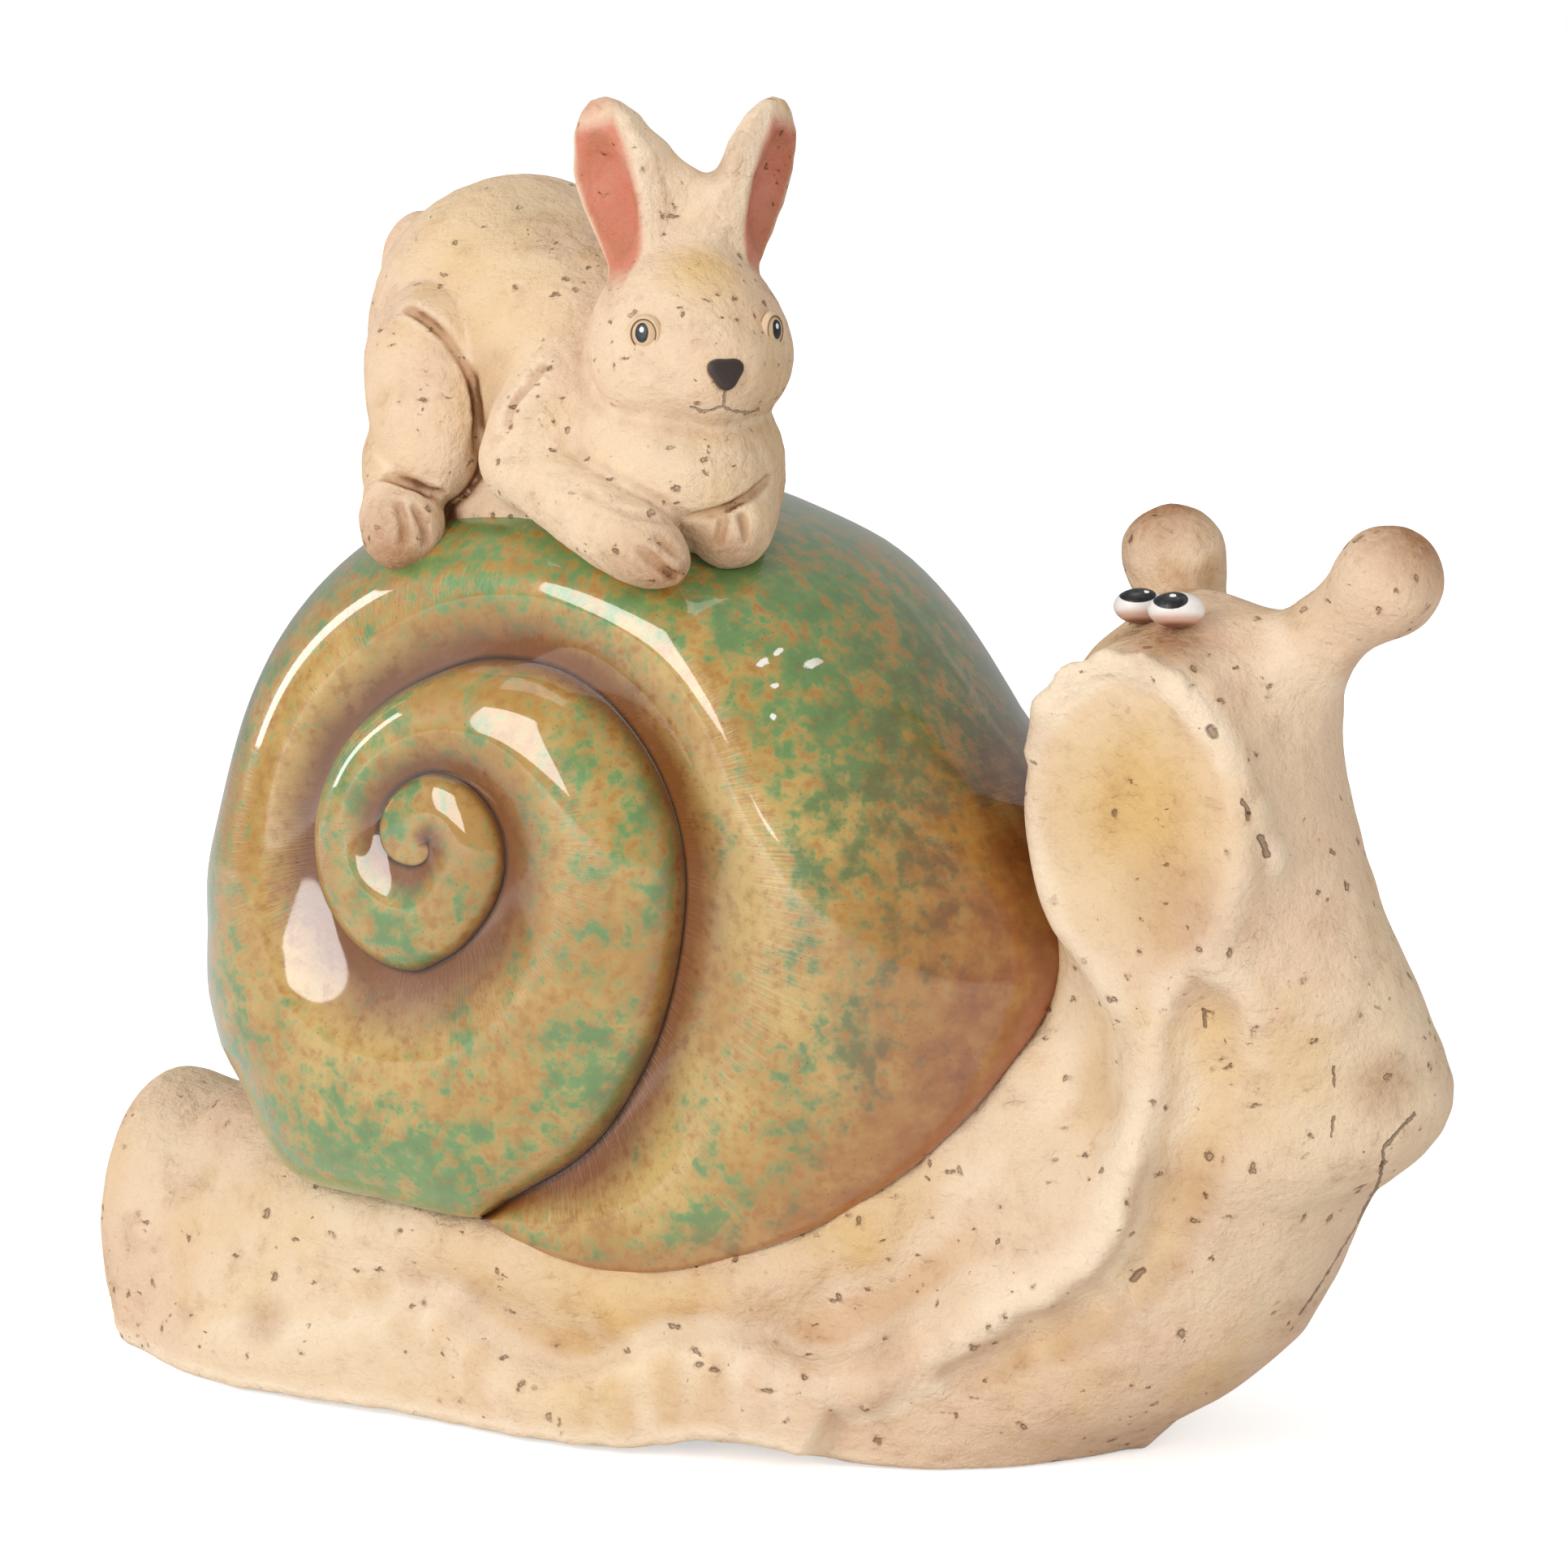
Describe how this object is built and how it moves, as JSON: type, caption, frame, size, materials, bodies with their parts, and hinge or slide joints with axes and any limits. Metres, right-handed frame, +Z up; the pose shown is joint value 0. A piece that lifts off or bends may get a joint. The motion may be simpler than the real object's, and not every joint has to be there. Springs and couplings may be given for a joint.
{
  "type": "snail garden figurine",
  "caption": "Fired-clay snail ornament that looks back over its side, with a glazed coiled shell and a rabbit lying on top; hollow and open underneath, free-standing.",
  "frame": {"origin": "middle of the ornament's box, on the floor it stands on", "axes": "+X the way the snail travels, +Y to the snail's left, +Z up"},
  "size_m": [0.391, 0.161, 0.351],
  "materials": {
    "snail_clay": "matt cream fired clay with small pits and a brown wash in its creases",
    "snail_eye_paint": "painted white with a black pupil",
    "shell_glaze": "glossy glaze, ochre and brown with sponged green",
    "rabbit_clay": "matt cream fired clay with a brown wash and pink inner ears",
    "rabbit_eye_paint": "painted black with a white glint and a beige rim",
    "rabbit_nose_paint": "painted dark brown"
  },
  "bodies": {
    "root": {"snail_body_right_half": "snail_clay", "snail_body_left_half": "snail_clay", "snail_tentacle_right": "snail_clay", "snail_tentacle_left": "snail_clay", "snail_eye_right": "snail_eye_paint", "snail_eye_left": "snail_eye_paint", "shell_right_half": "shell_glaze", "shell_left_half": "shell_glaze", "rabbit_torso": "rabbit_clay", "rabbit_head": "rabbit_clay", "rabbit_ear_right": "rabbit_clay", "rabbit_ear_left": "rabbit_clay", "rabbit_tail": "rabbit_clay", "rabbit_hind_leg_right": "rabbit_clay", "rabbit_hind_leg_left": "rabbit_clay", "rabbit_hind_paw_right": "rabbit_clay", "rabbit_hind_paw_left": "rabbit_clay", "rabbit_foreleg_right": "rabbit_clay", "rabbit_foreleg_left": "rabbit_clay", "rabbit_eye_right": "rabbit_eye_paint", "rabbit_eye_left": "rabbit_eye_paint", "rabbit_nose": "rabbit_nose_paint"}
  },
  "joints": []
}
